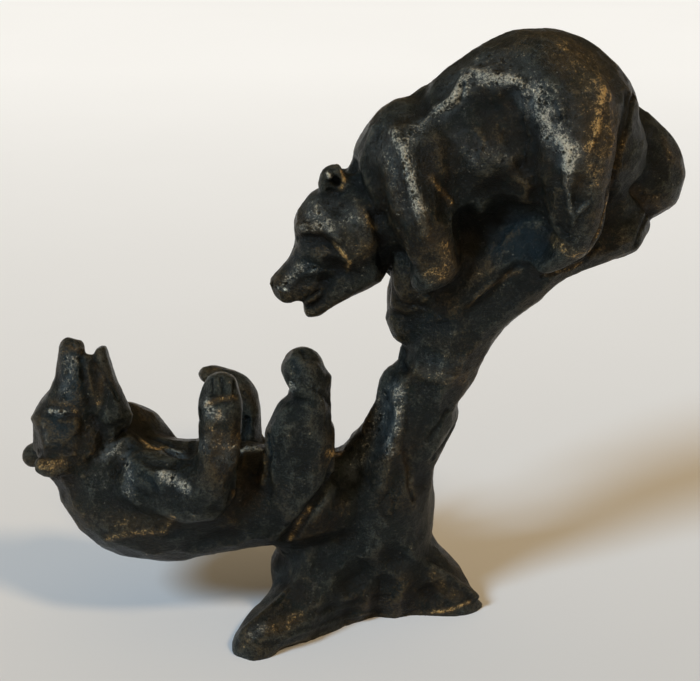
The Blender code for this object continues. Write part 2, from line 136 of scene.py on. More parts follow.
def fineClay(camera):
    # The casting's solid, merged and laid over with a fine net, without its flat faces.
    clay = bmesh.new()
    clay.from_mesh(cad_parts["bears_on_trunk"].data)
    bmesh.ops.remove_doubles(clay, verts=clay.verts, dist=skinSizes["merge"])
    for radius, knots in clayRolls.values():
        places = []
        for px, py, y in knots:
            start, along = rayThrough(camera, px, py)
            places.append(start + along * ((y * mm - start.y) / along.y))
        for a, b in zip(places, places[1:]):
            steps = math.ceil((b - a).length / (skinSizes["rollStep"] * radius * mm))
            for k in range(steps + 1):
                place = Matrix.Translation(a.lerp(b, k / steps))
                bmesh.ops.create_icosphere(clay, subdivisions=2, radius=radius * mm, matrix=place)
    mesh = bpy.data.meshes.new("clay")
    clay.to_mesh(mesh)
    clay.free()
    piece = bpy.data.objects.new("clay", mesh)
    bpy.context.scene.collection.objects.link(piece)
    net = piece.modifiers.new("net", "REMESH")
    net.mode = "VOXEL"
    net.voxel_size = skinSizes["grain"]
    thumb = piece.modifiers.new("thumb", "SMOOTH")
    thumb.factor = skinSizes["thumb"]
    thumb.iterations = skinSizes["thumbing"]
    return settled(piece)


class Skin:
    # The worked surface: its places and normals as arrays, and searches over it.

    def __init__(self, mesh):
        self.mesh = mesh
        self.read()

    def read(self):
        count = len(self.mesh.vertices)
        self.places = np.empty(count * 3, np.float32)
        self.mesh.vertices.foreach_get("co", self.places)
        self.places = self.places.reshape(-1, 3).astype(float)
        self.normals = np.empty(count * 3, np.float32)
        self.mesh.vertex_normals.foreach_get("vector", self.normals)
        self.normals = self.normals.reshape(-1, 3).astype(float)
        ends = np.empty(len(self.mesh.edges) * 2, np.int32)
        self.mesh.edges.foreach_get("vertices", ends)
        self.ends = ends.reshape(-1, 2)
        self.surface = BVHTree.FromPolygons(self.places.tolist(), [p.vertices[:] for p in self.mesh.polygons])
        self.near = KDTree(count)
        for index, place in enumerate(self.places):
            self.near.insert(place, index)
        self.near.balance()

    def write(self):
        self.mesh.vertices.foreach_set("co", self.places.astype(np.float32).ravel())
        self.mesh.update()
        self.read()

    def spotsSeen(self, camera, pixels, spacing):
        # Spots on the skin along a line that the camera sees.
        spots = []
        for a, b in zip(pixels, pixels[1:] or pixels):
            steps = max(1, math.ceil(math.dist(a, b) / spacing))
            for k in range(steps + 1):
                px, py = (a[i] + (b[i] - a[i]) * k / steps for i in range(2))
                spot = self.surface.ray_cast(*rayThrough(camera, px, py))[0]
                if spot is not None:
                    spots.append(spot)
        return spots

    def spotsNear(self, places, spacing):
        # Spots on the skin nearest to a line through places in mm.
        spots = []
        for a, b in zip(places, places[1:]):
            a, b = Vector(a) * mm, Vector(b) * mm
            steps = max(1, math.ceil((b - a).length / spacing))
            spots += [self.surface.find_nearest(a.lerp(b, k / steps))[0] for k in range(steps + 1)]
        return spots

    def share(self, spots, reach, sharpness=2):
        # How much of a soft round touch each vertex gets, from 0 to 1.
        got = np.zeros(len(self.places))
        for spot in spots:
            for _, index, away in self.near.find_range(spot, reach):
                got[index] = max(got[index], (1 - (away / reach) ** 2) ** sharpness)
        return got


# A touch of the tool follows a line seen from the camera, in pixels of the photograph's frame, and
# is pressed into the skin where those rays meet it: (half width mm, depth mm, pixels).
# A depth below 0 raises a ridge.
upperTouches = {
    "earHollow": (1.0, 0.55, [(334, 180), (337, 183)]),
    "earKnob": (0.8, -0.9, [(328, 174), (329, 176)]),
    "earFold": (0.8, 0.4, [(345, 190), (338, 193), (328, 190)]),
    "brow": (1.5, -0.5, [(297, 229), (307, 226), (318, 228), (330, 229), (338, 238)]),
    "browUnder": (1.0, 0.5, [(297, 238), (309, 236), (322, 238), (331, 245)]),
    "eyeSocket": (2.4, 0.6, [(305, 244), (318, 248), (331, 258), (338, 268)]),
    "cheekLine": (0.8, -0.35, [(334, 243), (342, 251), (350, 260), (348, 269)]),
    "templeDent": (1.4, 0.35, [(346, 222), (352, 226)]),
    "headPlane": (2.4, 0.3, [(330, 202), (345, 205), (356, 213)]),
    "cheekBack": (1.3, 0.4, [(372, 212), (378, 228), (384, 244)]),
    "neckPlane": (3.0, 0.4, [(356, 160), (360, 188), (384, 205)]),
    "neckRidge": (1.4, -0.3, [(373, 128), (365, 150), (358, 172)]),
    "muzzleSide": (1.8, -0.3, [(298, 270), (310, 268)]),
    "muzzleUnder": (1.5, 0.3, [(298, 283), (310, 279), (322, 276)]),
    "muzzleRidge": (1.0, -0.2, [(296, 250), (287, 264), (277, 277)]),
    "noseEdge": (0.5, 0.3, [(276, 288), (283, 290), (290, 286)]),
    "nostril": (0.6, 0.45, [(272, 282), (272, 286)]),
    "mouth": (0.5, 0.4, [(301, 304), (305, 300), (311, 296), (318, 291)]),
    "jawDimple": (1.0, 0.3, [(309, 306), (322, 300)]),
    "shoulderRim": (1.5, -0.4, [(391, 131), (406, 150), (407, 166), (413, 190), (420, 212), (425, 235)]),
    "shoulderHollow": (3.2, 0.5, [(424, 150), (430, 170), (434, 190)]),
    "goldLine": (0.6, -0.25, [(431, 177), (441, 190), (452, 202)]),
    "chestHollow": (2.6, 0.3, [(398, 225), (401, 240)]),
    "forelegHollow": (3.2, 0.6, [(466, 205), (474, 232), (474, 258)]),
    "pawPlane": (2.4, 0.3, [(432, 262), (446, 270)]),
    "pawCrease": (0.9, 0.25, [(408, 305), (424, 306), (441, 294), (456, 276)]),
    "knobNotch": (1.0, 0.3, [(392, 335), (400, 338)]),
    "flankTop": (1.8, 0.6, [(437, 120), (452, 114), (468, 102)]),
    "flankRim": (1.4, -0.4, [(440, 107), (453, 98), (461, 79), (474, 71), (490, 77), (509, 78), (520, 84)]),
    "flankGouge": (0.8, 0.8, [(463, 84), (461, 99)]),
    "flankBand": (1.6, -0.3, [(466, 139), (474, 162), (487, 156), (505, 158), (515, 176)]),
    "flankDark": (4.0, 0.8, [(484, 108), (502, 112), (516, 124), (520, 140)]),
    "flankLow": (3.6, 0.6, [(470, 185), (490, 190), (512, 196)]),
    "haunchEdge": (2.6, 0.9, [(512, 96), (521, 112), (526, 133), (528, 152), (524, 168)]),
    "haunchRim": (1.7, -0.4, [(536, 98), (545, 120), (553, 134), (566, 148), (568, 170)]),
    "haunchKnife": (0.7, 0.6, [(554, 103), (560, 119)]),
    "haunchStreak": (1.2, -0.3, [(604, 88), (600, 109), (596, 131), (591, 146)]),
    "haunchRear": (1.0, 0.6, [(634, 95), (629, 125), (617, 149), (612, 176), (607, 196),
                              (601, 227), (588, 254)]),
    "legFoldLeft": (0.8, -0.4, [(565, 178), (570, 200), (572, 214)]),
    "legFoldRight": (0.8, -0.4, [(588, 203), (577, 213), (573, 224)]),
    "legHollow": (1.6, 0.5, [(583, 182), (577, 200)]),
    "legGouge": (0.9, 0.5, [(559, 226), (566, 234)]),
    "footEdge": (0.9, 0.5, [(543, 277), (566, 270), (586, 261), (596, 246)]),
    "kneeEdge": (1.4, 0.35, [(494, 262), (500, 238), (514, 222), (534, 214), (548, 222), (557, 240)]),
    "farHaunchFold": (2.0, 0.3, [(622, 176), (636, 196), (648, 213)]),
    "farHaunchPlane": (2.4, 0.4, [(650, 150), (660, 175)]),
    "branchLip": (1.0, -0.2, [(467, 307), (480, 294), (493, 283), (508, 275), (520, 271)]),
    "branchCrease": (1.2, 0.25, [(462, 303), (476, 289), (490, 278), (506, 270)]),
    "branchDent": (1.0, 0.4, [(439, 324), (447, 324)]),
    "stubRing": (0.9, 0.4, [(636, 245), (642, 228), (648, 214)]),
    "chestEdge": (1.2, -0.25, [(398, 232), (408, 252), (418, 272), (428, 288)]),
    "flankBlob": (2.0, 0.6, [(488, 126), (491, 134), (492, 142)]),
}
lowerTouches = {
    "noseRim": (0.8, -0.3, [(62, 354), (66, 347), (74, 344), (83, 350)]),
    "noseUnder": (0.7, 0.3, [(66, 357), (73, 354), (80, 359)]),
    "facePlane": (1.7, 0.25, [(70, 364), (70, 380), (68, 396)]),
    "faceEdge": (0.8, -0.25, [(85, 358), (88, 375), (92, 394)]),
    "mouth": (0.45, 0.4, [(92, 357), (98, 367), (106, 378), (113, 390), (119, 401)]),
    "browGroove": (0.9, 0.2, [(41, 404), (58, 405), (74, 403)]),
    "browEdge": (0.8, -0.35, [(47, 411), (62, 411), (77, 411)]),
    "foreheadPlane": (1.6, 0.35, [(50, 424), (62, 428), (72, 426)]),
    "earGroove": (0.8, 0.25, [(39, 451), (52, 450), (68, 451)]),
    "earFront": (0.8, -0.3, [(40, 462), (52, 461), (63, 462)]),
    "earUnder": (0.8, 0.4, [(38, 476), (52, 478), (66, 474)]),
    "neckFold": (1.2, 0.5, [(128, 448), (123, 462), (114, 474)]),
    "neckRidge": (0.9, -0.35, [(122, 440), (114, 455), (104, 466)]),
    "chestRim": (0.9, -0.4, [(132, 432), (141, 440), (150, 447), (163, 447), (180, 453)]),
    "chestHollow": (1.8, 0.6, [(140, 455), (150, 462), (160, 466)]),
    "chestFold": (1.0, 0.5, [(150, 437), (160, 440), (172, 446)]),
    "shoulderMuscle": (1.8, -0.35, [(160, 472), (174, 479), (186, 488)]),
    "shoulderCrease": (1.2, 0.5, [(142, 474), (152, 483), (156, 494)]),
    "shoulderPlane": (2.4, 0.5, [(130, 486), (144, 496)]),
    "upperArmUnder": (2.8, -0.6, [(140, 504), (160, 512), (185, 519), (212, 517)]),
    "toeFirst": (0.5, 0.5, [(212, 380), (212, 393)]),
    "toeSecond": (0.5, 0.5, [(222, 378), (223, 393)]),
    "toeThird": (0.5, 0.5, [(234, 381), (234, 393)]),
    "palm": (1.2, 0.4, [(214, 399), (226, 399), (236, 398)]),
    "palmPad": (1.0, -0.35, [(208, 408), (219, 413)]),
    "palmHole": (0.5, 0.4, [(208, 405)]),
    "armLeft": (1.0, 0.5, [(199, 412), (196, 430), (191, 452)]),
    "armRight": (1.0, 0.7, [(247, 420), (243, 440), (239, 462), (234, 490)]),
    "armFold": (1.2, 0.5, [(183, 458), (176, 468)]),
    "armPlane": (1.8, 0.35, [(222, 425), (222, 445), (218, 462)]),
    "bellyRim": (0.9, -0.35, [(243, 448), (255, 446), (264, 452), (266, 470)]),
    "bellyCrease": (1.0, 0.6, [(268, 436), (270, 454), (266, 474)]),
    "footCrease": (1.2, -0.3, [(292, 386), (306, 388), (318, 390)]),
    "footSole": (1.4, 0.4, [(292, 362), (296, 370)]),
    "footToes": (0.6, 0.4, [(301, 350), (305, 358)]),
    "footHeel": (1.0, -0.3, [(316, 364), (324, 374)]),
    "heelCrease": (0.9, 0.4, [(314, 388), (323, 394), (330, 403)]),
    "kneeFold": (1.2, 0.35, [(288, 404), (300, 400), (312, 404)]),
    "legPlane": (3.0, 0.5, [(296, 420), (300, 445), (300, 470)]),
    "rumpCrease": (1.5, 0.7, [(334, 462), (326, 484), (316, 500), (304, 515), (294, 533)]),
    "rumpRidge": (0.8, -0.4, [(309, 509), (299, 522), (290, 539)]),
    "undersideRidge": (1.0, -0.3, [(106, 541), (118, 536), (131, 535), (146, 531), (164, 532), (172, 519)]),
    "undersidePlane": (3.0, 0.5, [(190, 545), (220, 536), (250, 530)]),
    "sidePlane": (3.4, 0.45, [(110, 500), (130, 515), (155, 512)]),
    "foreheadFill": (1.8, -0.35, [(50, 436), (62, 438), (74, 436)]),
    "footSeam": (0.5, 0.3, [(285, 384), (293, 388), (304, 387), (316, 391)]),
    "headCrease": (0.9, 0.35, [(122, 434), (112, 444), (102, 453), (90, 459)]),
}
trunkTouches = {
    "ridge": (1.2, -0.15, [(400, 404), (396, 434), (392, 452)]),
    "leftLow": (2.4, 0.4, [(356, 470), (344, 492), (334, 515)]),
    "ridgeSide": (1.4, 0.2, [(409, 395), (410, 415), (405, 446)]),
    "longCrease": (0.9, 0.5, [(405, 452), (409, 470), (409, 487), (414, 500)]),
    "oval": (0.6, 0.3, [(388, 494), (381, 503), (384, 517), (393, 517), (395, 500)]),
    "barkHigh": (1.4, 0.15, [(412, 384), (432, 386), (458, 384)]),
    "barkEdge": (1.0, -0.1, [(420, 374), (436, 376), (452, 380), (468, 384)]),
    "bulgeCrease": (1.2, 0.6, [(434, 459), (446, 440), (458, 420), (462, 404)]),
    "lobeEdge": (1.0, 0.4, [(428, 440), (438, 428), (446, 412)]),
    "rightPlane": (3.0, 0.5, [(420, 470), (424, 500), (424, 530)]),
    "rightRootRidge": (1.0, -0.4, [(431, 566), (450, 576), (466, 587), (477, 596)]),
    "rightRootHollow": (2.4, 0.6, [(428, 590), (446, 598)]),
    "rightRootLip": (0.7, -0.3, [(426, 611), (441, 612), (458, 607), (470, 601)]),
    "leftRootEdge": (1.2, 0.4, [(282, 596), (268, 612), (252, 628)]),
    "frontLip": (0.8, -0.3, [(260, 640), (290, 637), (315, 628), (345, 618), (372, 612)]),
    "frontLipOver": (1.2, 0.4, [(280, 628), (305, 617), (335, 606), (362, 602)]),
    "frontPlane": (4.0, 0.5, [(350, 540), (356, 565), (360, 588)]),
    "scratch": (0.5, 0.25, [(374, 596), (392, 596)]),
}
# The side that the camera doesn't see is worked more plainly: (half width mm, depth mm, places in mm).
farTouches = {
    "upperEyeSocket": (1.7, 0.55, [(-6.6, 4, 79), (-3.6, 4, 78)]),
    "upperEarHollow": (1.0, 0.9, [(-1.2, 4, 88.5), (-0.8, 4, 87.5)]),
    "upperMouth": (0.75, 0.9, [(-9.5, -4, 66.3), (-8, -2.5, 68), (-5, -1.5, 70.5)]),
    "shoulderRim": (1.6, -0.4, [(9, 7, 100), (12, 10, 94), (14, 10.5, 86)]),
    "haunchRim": (1.6, -0.4, [(44, 8, 106), (48, 10, 98), (50, 10, 91)]),
    "flankGouge": (1.2, 0.6, [(24, 10, 104), (27, 10, 97)]),
    "pawCrease": (0.9, 0.6, [(10, 3, 68), (14, 4, 68), (19, 5, 70)]),
    "lowerShoulder": (1.2, 0.6, [(-38, 6, 36), (-33, 7, 32), (-31, 7, 26)]),
    "lowerHip": (1.3, 0.7, [(-14, 7, 37), (-16, 8, 31), (-14, 8, 24)]),
    "barkLong": (0.8, 0.6, [(14, 6, 56), (12, 7, 44), (8, 8, 32), (5, 11, 18)]),
    "barkShort": (0.8, 0.5, [(18, 5, 52), (16, 6, 42), (14, 8, 30)]),
}


def pressTouches(skin, camera, touches, seen=True):
    move = np.zeros(len(skin.places))
    for halfWidth, depth, line in touches.values():
        reach = halfWidth * mm
        if seen:
            spots = skin.spotsSeen(camera, line, skinSizes["pixelStep"])
        else:
            spots = skin.spotsNear(line, reach / 3)
        move -= depth * mm * skin.share(spots, reach)
    skin.places += skin.normals * move[:, None]
    skin.write()


# The modeller's flat cuts, first broad and then small: how far apart, how far each reaches, how deep.
broadKnife = {"spacing": 6.5 * mm, "reach": 4.6 * mm, "bite": 0.24 * mm, "seed": 11}
smallKnife = {"spacing": 3.3 * mm, "reach": 2.3 * mm, "bite": 0.07 * mm, "seed": 12}
cutting = {
    "shake": 5.1,               # steps through the noise that unsettles the lattice
    "close": 0.45,              # of the spacing: a knot further from the skin than this cuts nothing
    "facing": 0.75,             # a cut meets only skin that faces it about this well
    "edge": 4,                  # the higher, the sharper a cut's edge
}


def cutPlanes(skin, knife):
    # Flat cuts of a knife, all over, where a shaken lattice comes close to the skin.
    noise.seed_set(knife["seed"])
    spacing, reach, bite = (knife[k] for k in ("spacing", "reach", "bite"))
    low, high = skin.places.min(0), skin.places.max(0)
    counts = np.ceil((high - low) / spacing).astype(int)
    for cell in np.ndindex(*counts):
        knot = Vector(low + np.array(cell) * spacing)
        knot += noise.noise_vector(Vector(cell) * cutting["shake"]) * spacing
        spot, normal, _, away = skin.surface.find_nearest(knot, spacing * cutting["close"])
        if spot is None:
            continue
        found = skin.near.find_range(spot, reach)
        indices = np.array([index for _, index, _ in found], int)
        if not len(indices):
            continue
        gone = np.array([away for _, _, away in found])
        flat = np.array(normal)
        proud = (skin.places[indices] - np.array(spot)) @ flat + bite
        facing = skin.normals[indices] @ flat > cutting["facing"]
        depth = np.clip(proud, 0, bite) * (1 - (gone / reach) ** cutting["edge"]) * facing
        skin.places[indices] -= flat * depth[:, None]
    skin.write()


def addLumps(skin):
    # The unevenness that fingers and a small tool leave.
    move = np.zeros(len(skin.places))
    for height, size in skinSizes["lumps"]:
        move += height * np.array([noise.noise(Vector(p) / size) for p in skin.places])
    skin.places += skin.normals * move[:, None]
    skin.write()


# Where the pits of the casting crowd together and rubbing has bared the metal, and where pale painted
# highlights and painted window light lie on the lit facets. The lines are again what the camera sees: (half
# width mm, how strong, pixels).
pittedBands = {
    "shoulder": (2.2, 0.85, [(391, 131), (405, 148), (407, 166), (413, 190), (420, 213)]),
    "shoulderTop": (2.4, 0.7, [(404, 146), (420, 124), (437, 110)]),
    "flankRim": (2.8, 0.95, [(437, 110), (455, 97), (462, 80), (476, 71), (492, 76), (510, 79), (520, 84)]),
    "flankUpper": (5.0, 0.42, [(455, 80), (480, 66), (510, 68), (535, 78), (550, 100), (560, 130)]),
    "haunch": (4.2, 0.9, [(532, 92), (539, 108), (548, 124), (558, 140), (566, 152)]),
    "flankInner": (1.8, 0.4, [(466, 139), (475, 160), (488, 156), (505, 158)]),
    "brow": (2.0, 0.75, [(303, 230), (310, 216), (322, 214), (331, 230), (315, 226)]),
    "cheek": (1.6, 0.5, [(342, 220), (358, 214)]),
    "muzzle": (1.5, 0.75, [(286, 284), (296, 272), (308, 268), (316, 270)]),
    "lowerShoulder": (1.8, 1.2, [(164, 474), (175, 481), (184, 488)]),
    "lowerNeck": (1.6, 0.75, [(127, 494), (131, 480), (122, 444), (104, 456)]),
    "palm": (1.6, 0.8, [(206, 402), (209, 412), (218, 416)]),
    "wrist": (2.2, 0.45, [(200, 446), (216, 440), (236, 450), (222, 462)]),
    "chest": (1.8, 0.9, [(166, 454), (180, 456)]),
    "belly": (1.4, 1.4, [(243, 450), (258, 449)]),
    "hindNeck": (1.3, 1.3, [(276, 402), (284, 392), (292, 386)]),
    "trunkRidge": (2.0, 0.75, [(396, 384), (398, 404), (393, 430), (388, 448)]),
    "trunkLeft": (3.2, 0.62, [(388, 398), (378, 425), (366, 448), (356, 466)]),
    "leftRoot": (1.8, 0.6, [(252, 633), (262, 628)]),
    "branch": (3.0, 0.3, [(430, 366), (450, 372), (468, 366)]),
    "shoulderHalo": (4.5, 0.4, [(380, 140), (392, 150), (398, 175), (404, 205)]),
    "headTop": (3.0, 0.4, [(312, 205), (335, 212), (352, 218)]),
    "lowerForehead": (0.9, 1.3, [(50, 411), (58, 413), (67, 413)]),
    "legFold": (0.6, 0.5, [(566, 182), (570, 200), (572, 214), (577, 213), (588, 203)]),
    "earKnob": (0.8, 1.7, [(328, 174), (329, 176)]),
    "lowerFace": (2.0, 0.62, [(71, 358), (69, 376), (66, 396)]),
    "foreheadSide": (0.9, 0.4, [(44, 425), (46, 442)]),
    "nape": (1.0, 0.6, [(114, 438), (106, 450), (96, 456)]),
    "haunchBright": (2.0, 1.5, [(560, 140), (567, 150), (568, 166)]),
    "haunchRim": (1.0, 0.6, [(568, 166), (569, 176), (567, 184)]),
    "noseTip": (0.7, 1.3, [(278, 287), (287, 289)]),
    "flankMist": (2.4, 0.45, [(460, 138), (478, 150), (500, 155)]),
}
# Gold where rubbing has bared the brass, and painted warm highlights of the lamp with painted glows round
# them: (half width mm, how strong, pixels).
goldenStreaks = {
    "haunch": (1.9, 1.0, [(604, 88), (601, 108), (597, 130), (590, 147)]),
    "haunchGlow": (6.0, 0.55, [(570, 56), (590, 66), (603, 92), (604, 130), (594, 170)]),
    "foot": (1.6, 0.55, [(552, 238), (566, 250), (578, 257), (586, 250)]),
    "footEdge": (0.7, 0.85, [(545, 275), (566, 270), (580, 262)]),
    "farHaunch": (2.0, 0.45, [(634, 190), (646, 198), (652, 206)]),
    "farHaunchTop": (1.2, 0.5, [(664, 140), (673, 160)]),
    "farHaunchFold": (1.0, 0.4, [(625, 134), (612, 176)]),
    "goldLine": (0.8, 0.8, [(431, 177), (441, 190), (452, 203)]),
    "foreleg": (2.0, 0.45, [(418, 204), (424, 226), (432, 240)]),
    "paw": (2.6, 0.6, [(428, 272), (441, 276), (452, 264), (446, 248)]),
    "ear": (0.8, 1.0, [(342, 172), (344, 180), (341, 188)]),
    "cheek": (0.8, 0.8, [(334, 244), (343, 254), (349, 263), (347, 269)]),
    "cheekBack": (1.0, 0.8, [(362, 211), (371, 222), (374, 228)]),
    "face": (3.0, 0.25, [(345, 235), (356, 240), (360, 255)]),
    "lowerNose": (0.8, 0.6, [(64, 352), (70, 347), (82, 352)]),
    "lowerCheek": (0.9, 0.45, [(98, 366), (103, 374), (99, 402)]),
    "lowerBrow": (0.8, 0.6, [(50, 402), (66, 404), (78, 411)]),
    "lowerEar": (1.6, 0.7, [(42, 463), (50, 466), (60, 462)]),
    "toes": (0.8, 0.9, [(206, 404), (224, 398), (235, 397)]),
    "fingertips": (0.8, 0.6, [(208, 371), (222, 367), (236, 371)]),
    "palm": (1.0, 0.8, [(219, 413), (218, 418)]),
    "arm": (2.2, 0.5, [(212, 430), (222, 450), (236, 440)]),
    "armSpot": (0.8, 0.8, [(234, 493)]),
    "chest": (0.9, 1.0, [(143, 440), (149, 447), (160, 449), (166, 447)]),
    "belly": (0.8, 0.7, [(265, 455), (265, 474), (258, 480)]),
    "crotch": (1.2, 1.1, [(328, 453), (340, 454)]),
    "rump": (0.9, 0.9, [(309, 509), (300, 521), (290, 540)]),
    "underside": (1.3, 0.8, [(108, 539), (131, 534), (149, 533), (164, 531), (172, 518)]),
    "undersideGlow": (3.0, 0.3, [(120, 526), (150, 524), (170, 522)]),
    "branch": (0.8, 0.6, [(468, 306), (486, 290), (508, 275), (519, 271)]),
    "trunkSpot": (0.9, 0.6, [(398, 412), (399, 416)]),
    "trunkBark": (2.0, 0.35, [(412, 372), (440, 376), (462, 380)]),
    "bark": (1.4, 0.35, [(405, 455), (410, 486)]),
    "rightRoot": (1.6, 0.5, [(434, 572), (444, 590), (456, 596)]),
    "rightRootLip": (0.7, 0.8, [(430, 613), (450, 610), (470, 602)]),
    "leftRoot": (2.0, 0.6, [(268, 630), (280, 626), (298, 618)]),
    "leftRootTip": (1.2, 0.5, [(240, 648), (246, 640)]),
    "lowerBrowSpot": (0.6, 1.1, [(75, 412), (76, 410)]),
    "lowerEyeSpot": (0.5, 0.7, [(98, 402), (99, 404)]),
    "rearEdge": (0.5, 0.75, [(616, 152), (612, 178), (606, 205), (600, 228), (588, 254)]),
}
# A bluish bloom, partly a blue patina and partly a painted bluish sheen of the window's light on facets that
# face it: (half width mm, how strong, pixels).
blueBloomAndSheen = {
    "knee": (5.0, 1.0, [(512, 250), (522, 238), (530, 246)]),
    "muzzle": (2.6, 0.6, [(290, 262), (304, 268)]),
    "socket": (2.0, 0.4, [(305, 246), (318, 250)]),
    "lowerFace": (3.0, 1.6, [(72, 350), (72, 372), (72, 399)]),
    "forehead": (3.6, 1.0, [(52, 424), (60, 436)]),
    "lowerShoulder": (2.4, 0.6, [(134, 452), (132, 482), (176, 482)]),
    "trunkLeft": (3.4, 0.8, [(392, 392), (390, 420), (378, 446)]),
    "foot": (2.4, 0.5, [(290, 358), (298, 368)]),
    "hindNeck": (2.4, 0.6, [(282, 392), (276, 410), (268, 450)]),
    "belowBranch": (2.6, 0.4, [(430, 324), (448, 324)]),
    "back": (3.0, 0.3, [(210, 545), (250, 540)]),
    "leftRoot": (2.2, 0.35, [(276, 581), (258, 612)]),
}
# The side that the camera doesn't see is worn in soft patches: (how strong, which patches).
hiddenWear = {
    "pits": (0.5, 4),
    "pitted": (0.6, 4),
    "golden": (0.5, 7),
    "bloomAndSheen": (0.6, 9),
    "patchSize": 9.0 * mm,
    "contrast": 2.2,
    "shift": (1, 0.37, -0.61),  # through the noise, from one set of patches to the next
    "turn": 2,                  # how fast the unseen side's wear comes in as the skin turns away
    "past": 0.3,
}


def patches(places, seed):
    # Soft patches over the whole casting, from 0 to 1.
    shift = Vector([seed * step for step in hiddenWear["shift"]])
    values = np.array([noise.noise(Vector(p) / hiddenWear["patchSize"] + shift) for p in places])
    return np.clip(values * hiddenWear["contrast"], 0, 1)


def hidden(skin):
    # 1 on the side that the camera doesn't see, falling softly to 0 on the side that it does.
    return np.clip(skin.normals[:, 1] * hiddenWear["turn"] + hiddenWear["past"], 0, 1)


def unseenWear(skin, name):
    strength, seed = hiddenWear[name]
    return strength * hidden(skin) * patches(skin.places, seed)


def bandShare(skin, camera, bands):
    got = np.zeros(len(skin.places))
    for halfWidth, strength, line in bands.values():
        spots = skin.spotsSeen(camera, line, skinSizes["pixelStep"])
        got = np.maximum(got, strength * skin.share(spots, halfWidth * mm, 1))
    return got


pits = {
    "seed": 3,
    "count": 1300,
    "radius": (0.30 * mm, 0.66 * mm),
    "smallest": 0.6,            # of that radius, away from the bands
    "depth": 0.42,              # of the radius
    "roundness": 1.5,
    "rim": 1.5,                 # how far the swelling round a pit reaches, in radii
    "swell": 0.16,              # its height, of the pit's depth
    "crowding": 1.5,            # the higher, the fewer pits at a band's edges
    "scatter": 0.02,            # the chance of a pit where there is no band
}


def addPits(skin, camera):
    # Round pits of the casting, crowded in the bands and scattered elsewhere.
    chooser = np.random.default_rng(pits["seed"])
    crowd = bandShare(skin, camera, pittedBands) ** pits["crowding"]
    crowd = np.maximum(crowd, unseenWear(skin, "pits"))
    chance = crowd + pits["scatter"]
    centres = chooser.choice(len(chance), pits["count"], replace=False, p=chance / chance.sum())
    move = np.zeros(len(skin.places))
    for centre in centres:
        radius = chooser.uniform(*pits["radius"])
        radius *= pits["smallest"] + (1 - pits["smallest"]) * crowd[centre]
        found = skin.near.find_range(Vector(skin.places[centre]), radius * pits["rim"])
        for _, index, away in found:
            x = away / radius
            if x < 1:
                move[index] = min(move[index], -pits["depth"] * radius * (1 - x * x) ** pits["roundness"])
            elif move[index] >= 0:
                swell = math.sin((x - 1) / (pits["rim"] - 1) * math.pi)
                move[index] = max(move[index], pits["swell"] * pits["depth"] * radius * swell)
    skin.places += skin.normals * move[:, None]
    skin.write()


def standFlat(mesh):
    # What is near the floor lies on it, and nothing leaves the casting's own box.
    skin = bmesh.new()
    skin.from_mesh(mesh)
    low, high = cadBox
    for vert in skin.verts:
        if vert.co.z < skinSizes["floorSnap"]:
            vert.co.z = 0
        vert.co = [min(max(vert.co[k], low[k]), high[k]) for k in range(3)]
    bmesh.ops.triangulate(skin, faces=skin.faces)
    skin.to_mesh(mesh)
    skin.free()


def thinned(mesh, most):
    piece = bpy.data.objects.new("thinned", mesh)
    bpy.context.scene.collection.objects.link(piece)
    thin = piece.modifiers.new("thin", "DECIMATE")
    triangles = sum(len(p.vertices) - 2 for p in mesh.polygons)
    thin.ratio = min(1, most / triangles)
    thin.use_collapse_triangulate = True
    return settled(piece)


def spread(values, ends, rounds):
    # Values averaged with their neighbours, so many rounds.
    count = len(values)
    degree = np.bincount(ends.ravel(), minlength=count).clip(1)
    for _ in range(rounds):
        total = np.bincount(ends[:, 0], values[ends[:, 1]], count)
        total += np.bincount(ends[:, 1], values[ends[:, 0]], count)
        values = 0.5 * values + 0.5 * total / degree
    return values


def bulge(skin, rounds):
    # How far the skin stands proud of itself smoothed, in mm.
    smooth = np.stack([spread(skin.places[:, k], skin.ends, rounds) for k in range(3)], 1)
    return ((skin.places - smooth) * skin.normals).sum(1) / mm


wear = {
    "fineRounds": 6,            # rounds of smoothing that take the small ridges and hollows away
    "broadRounds": 60,          # and the large ones
    "fineWeight": 9,
    "ridgeFrom": 0.3,
    "hollowFrom": 0.2,
}


def paintMasks(skin, camera):
    # Float attributes that the patina reads.
    fine, broad = bulge(skin, wear["fineRounds"]), bulge(skin, wear["broadRounds"])
    proud = spread(fine, skin.ends, 1) * wear["fineWeight"] + broad
    masks = {
        "ridge": np.clip(proud - wear["ridgeFrom"], 0, 1),
        "hollow": np.clip(-proud - wear["hollowFrom"], 0, 1),
        # Painted light rides on these masks as well: pale painted highlights in the pitted one, painted warm
        # highlights in the golden one, a painted bluish window sheen in the bloom one.
        "pitted": np.maximum(bandShare(skin, camera, pittedBands), unseenWear(skin, "pitted")),
        "golden": np.maximum(bandShare(skin, camera, goldenStreaks), unseenWear(skin, "golden")),
        "bloomAndSheen": np.maximum(bandShare(skin, camera, blueBloomAndSheen), unseenWear(skin, "bloomAndSheen")),
    }
    for name, values in masks.items():
        attribute = skin.mesh.attributes.new(name, "FLOAT", "POINT")
        attribute.data.foreach_set("value", values.astype(np.float32))


